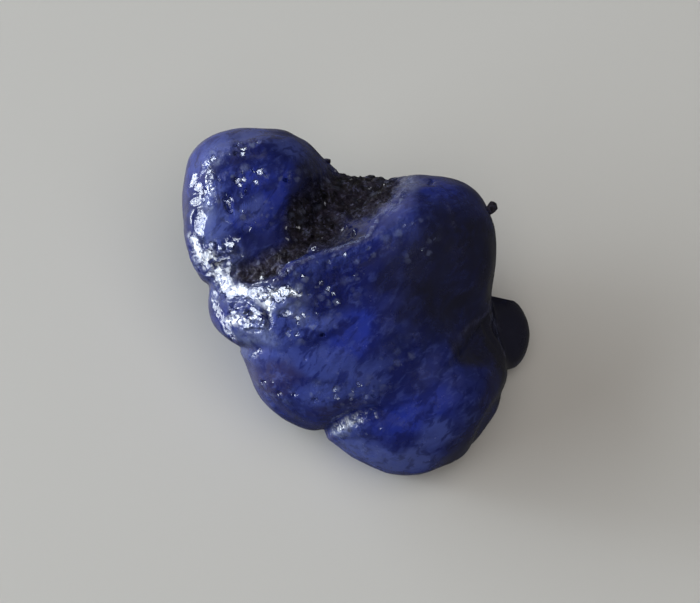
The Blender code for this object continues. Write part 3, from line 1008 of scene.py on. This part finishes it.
def crystal_colour(tree, vector, rock_colour, specks_and_faint_glints, scuff_and_highlight, bruise_and_glint):
    """Cloudy deep blue: the masks of each finish and of the painted shade, sheen and highlights, broken up by
    noise, lay their colours one over the last.
    """
    clouds = noise(tree, vector, 0.55, 5.0, 0.6, 0.6).outputs[0]
    wisps = streaked(tree, vector, 1.3, 50.0, 2.6)
    flecks = streaked(tree, vector, 2.6, 35.0, 1.8)
    shreds = streaked(tree, vector, 2.0, 55.0, 2.4)
    colour = blend(tree, remap(tree, clouds, 0.36, 0.62), INK_BLUE, NAVY)
    layers = (
        ("vivid", ROYAL_BLUE, 0.85),
        # cloudy tone, with painted sheen on the head's rims and the foot's lower edge
        ("milky_and_sheen", MILKY_AND_SHEEN_BLUE, 0.9),
        ("violet", VIOLET, 0.85),
        # deep saturated blue, with painted shade along the creases
        ("deep", DEEP_BLUE, 0.95),
    )
    ragged = remap(tree, wisps, 0.3, 0.56, 0.5, 1.0)
    for name, tint, strength in layers:
        amount = times(tree, times(tree, mask(tree, name), strength), ragged)
        colour = blend(tree, amount, colour, tint)
    colour = blend(tree, remap(tree, flecks, 0.5, 0.66, 0.0, 0.4), colour, MILKY_AND_SHEEN_BLUE)
    colour = blend(tree, remap(tree, shreds, 0.5, 0.62, 0.0, 0.7), colour, DEEP_BLUE)
    # painted shade over the base colour
    shade_and_dark_tone = times(tree, mask(tree, "shade_and_dark_tone"), remap(tree, wisps, 0.34, 0.6, 0.8, 1.0))
    colour = blend(tree, shade_and_dark_tone, colour, SHADE_AND_DARK_BLUE)
    shattered = noise(tree, vector, 2.4, 6.0, 0.7, 0.5).outputs[0]
    # frosted broken skin and haze, partly a painted halo round the glints
    frost_and_halo = times(tree, mask(tree, "hackle"), remap(tree, shattered, 0.44, 0.6, 0.0, 0.55))
    haze_and_halo = times(tree, mask(tree, "haze_and_halo"), remap(tree, shattered, 0.32, 0.6, 0.3, 1.0))
    colour = blend(tree, greater(tree, frost_and_halo, haze_and_halo), colour, FROST_AND_HALO_BLUE)
    # bruised streaks laid near-white: bruising, and painted highlight where the glints lie
    colour = blend(tree, times(tree, bruise_and_glint, 0.85), colour, BRUISE_AND_GLINT_WHITE)
    colour = blend(tree, mask(tree, "rock"), colour, rock_colour)
    # scuffs, partly painted highlight along the ridges
    colour = blend(tree, times(tree, scuff_and_highlight, 0.75), colour, SCUFF_AND_HIGHLIGHT_LILAC)
    # pale specks: bruised spots, partly painted faint glints
    return blend(tree, times(tree, specks_and_faint_glints, 0.6), colour, FROST_AND_HALO_BLUE)


def sapphire_material(origin, rock_group):
    """Satin, cloudy blue crystal with dark rock in its cleft, scuffed ridges, bruises and bright flakes, with
    shade, sheen and highlights partly painted into its colour.
    """
    material, tree, shader = new_material("waterworn_sapphire")
    vector = stone_vector(tree, origin)
    rock = use_group(tree, rock_group, {"Vector": vector})
    rock_amount, flake, hackle = mask(tree, "rock"), mask(tree, "flake"), mask(tree, "hackle")
    pitted = greater(tree, mask(tree, "pitted"), times(tree, rock_amount, 0.5))
    both = zip(specks(tree, vector, 0.75, 0.42), specks(tree, vector, 0.42, 0.27))
    specks_and_faint_glints, glints = (times(tree, greater(tree, *pair), pitted) for pair in both)
    scratches = streaked(tree, vector, 2.0, 50.0, 1.4, 5.0)
    scuff_and_highlight = times(tree, mask(tree, "scuff_and_highlight"), remap(tree, scratches, 0.42, 0.62, 0.05, 0.7))
    # pale threads along the ridges' edges, partly painted highlight
    edges = remap(tree, mask(tree, "scuff_and_highlight"), 0.15, 0.8)
    pale = greater(tree, specks_and_faint_glints, times(tree, edges, threads(tree, vector, 1.5, 0.03)))
    crushed = noise(tree, vector, 2.6, 5.0, 0.66, 0.4).outputs[0]
    bruise_and_glint = times(tree, mask(tree, "bruise_and_glint"), remap(tree, crushed, 0.46, 0.53, 0.0, 1.0))
    colour = crystal_colour(tree, vector, rock.outputs["Color"], pale, scuff_and_highlight, bruise_and_glint)

    smudges = noise(tree, vector, 0.9, 4.0, 0.6).outputs[0]
    satin = remap(tree, smudges, 0.35, 0.7, 0.15, 0.3)
    chipped = noise(tree, vector, 3.4, 4.0, 0.65, 0.3).outputs[0]
    whole = times(tree, remap(tree, flake, 0.4, 0.8), remap(tree, chipped, 0.42, 0.5, 0.0, 1.0))
    catching = greater(tree, greater(tree, whole, bruise_and_glint), glints)
    bright = greater(tree, catching, times(tree, hackle, 0.7))
    sheen = fade(tree, bright, satin, 0.1)
    rocky = times(tree, rock_amount, calculate(tree, "SUBTRACT", 1.0, catching))
    rough = fade(tree, rocky, sheen, rock.outputs["Roughness"])

    ripple = noise(tree, vector, 1.6, 4.0, 0.55).outputs[0]
    coarse = splinters(tree, vector, 0.5, GLINT_WAY, 0.8)
    broken = calculate(tree, "ADD", coarse, splinters(tree, vector, 0.2, (0.0, 0.0, 0.0), 0.5))
    rubble = times(tree, noise(tree, vector, 4.5, 4.0, 0.6).outputs[0], SHADED_RUBBLE)
    unflaked = times(tree, calculate(tree, "SUBTRACT", 1.0, flake), hackle)
    dents = noise(tree, vector, 1.1, 3.0, 0.6).outputs[0]
    height = times(tree, ripple, SHADED_RIPPLE)
    dented = times(tree, dents, mask(tree, "pitted"))
    height = calculate(tree, "MULTIPLY_ADD", dented, SHADED_DENT, height)
    height = calculate(tree, "MULTIPLY_ADD", broken, unflaked, height)
    height = fade(tree, catching, height, rubble)
    height = calculate(tree, "MULTIPLY_ADD", scuff_and_highlight, SHADED_SCUFF, height)
    height = fade(tree, rocky, height, rock.outputs["Height"])
    turned = turned_normal(tree, times(tree, catching, GLINT_TURN))
    bump = place(tree, "Bump", {"Height": height, "Distance": MM, "Normal": turned})
    tree.links.new(colour, shader.inputs["Base Color"])
    tree.links.new(rough, shader.inputs["Roughness"])
    tree.links.new(bump.outputs["Normal"], shader.inputs["Normal"])
    shader.inputs["IOR"].default_value = IOR_OF_SAPPHIRE
    return material


def rock_material(origin, rock_group):
    """The same dark rock on its own, for the grains."""
    material, tree, shader = new_material("dark_rock")
    rock = use_group(tree, rock_group, {"Vector": stone_vector(tree, origin)})
    bump = place(tree, "Bump", {"Height": rock.outputs["Height"], "Distance": MM})
    tree.links.new(rock.outputs["Color"], shader.inputs["Base Color"])
    tree.links.new(rock.outputs["Roughness"], shader.inputs["Roughness"])
    tree.links.new(bump.outputs["Normal"], shader.inputs["Normal"])
    return material


# ---- floor, light and camera ----


def build_floor():
    """A plain pale floor, wide enough to fill the view from any side."""
    corners = [(x * FLOOR_HALF, y * FLOOR_HALF, 0.0) for x, y in ((-1, -1), (1, -1), (1, 1), (-1, 1))]
    floor = mesh_object("floor", corners, [(0, 1, 2, 3)])
    material, _, shader = new_material("pale_floor")
    shader.inputs["Base Color"].default_value = (*FLOOR_GREY, 1.0)
    shader.inputs["Roughness"].default_value = FLOOR_ROUGHNESS
    shader.inputs["Specular IOR Level"].default_value = FLOOR_GLOSS
    floor.data.materials.append(material)
    floor.visible_glossy = False


def add_light(name, place_m, aim_m, size_m, watts, colour):
    """A rectangular area light at one place that points at another."""
    light = bpy.data.lights.new(name, "AREA")
    light.shape = "RECTANGLE"
    light.size, light.size_y = size_m
    light.energy = watts
    light.color = colour
    lamp = bpy.data.objects.new(name, light)
    lamp.location = place_m
    lamp.rotation_euler = (Vector(aim_m) - Vector(place_m)).to_track_quat("-Z", "Y").to_euler()
    bpy.context.scene.collection.objects.link(lamp)
    return lamp


def build_light():
    """Window light from the left, the sky round it and a fill from above, in a room pale on its left."""
    add_light("window", WINDOW_PLACE, LIGHT_AIM, WINDOW_SIZE, WINDOW_WATTS, DAYLIGHT)
    sky = add_light("sky", SKY_PLACE, LIGHT_AIM, SKY_SIZE, SKY_WATTS, DAYLIGHT)
    fill = add_light("fill", FILL_PLACE, (0.0, 0.0, 0.0), FILL_SIZE, FILL_WATTS, LAMPLIGHT)
    sky.visible_glossy = fill.visible_glossy = False
    world = bpy.data.worlds.new("room")
    bpy.context.scene.world = world
    world.use_nodes = True
    tree = world.node_tree
    direction = place(tree, "TexCoord").outputs["Generated"]
    facing = combine(tree, "DOT_PRODUCT", direction, PALE_SIDE, output=1)
    background = tree.nodes["Background"]
    background.inputs["Color"].default_value = ROOM_COLOUR
    tree.links.new(remap(tree, facing, 0.35, 0.85, *ROOM_STRENGTH), background.inputs["Strength"])
    bpy.context.scene.view_settings.view_transform = "Standard"


def build_camera(origin):
    """A long lens that looks straight at the broad face, so that the stone stands upright in the picture."""
    toward = Matrix.Rotation(LEAN_BACK, 3, "X") @ Vector((0.0, 0.0, 1.0))
    camera = bpy.data.cameras.new("camera")
    camera.sensor_width = SENSOR_MM
    camera.lens = SENSOR_MM * CAMERA_DISTANCE / (MM_PER_PX * IMAGE_WIDTH_PX * MM)
    camera.shift_x = (IMAGE_WIDTH_PX / 2.0 - STONE_ORIGIN_PX[0]) / IMAGE_WIDTH_PX
    camera.shift_y = (STONE_ORIGIN_PX[1] - IMAGE_HEIGHT_PX / 2.0) / IMAGE_WIDTH_PX
    camera.clip_start = 0.01
    viewer = bpy.data.objects.new("camera", camera)
    viewer.location = origin + toward * CAMERA_DISTANCE
    viewer.rotation_euler = (-toward).to_track_quat("-Z", "Y").to_euler()
    bpy.context.scene.collection.objects.link(viewer)
    bpy.context.scene.camera = viewer


def build():
    """The whole scene: the stone's two pieces, the floor, the light and the camera."""
    rock_group = crumbly_rock_group()
    crystal, grains, origin = build_stone()
    crystal.data.materials.append(sapphire_material(origin, rock_group))
    grains.data.materials.append(rock_material(origin, rock_group))
    for piece in (crystal, grains):
        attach(piece, BODY)
    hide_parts(NODE)
    build_floor()
    build_light()
    build_camera(origin)


build()
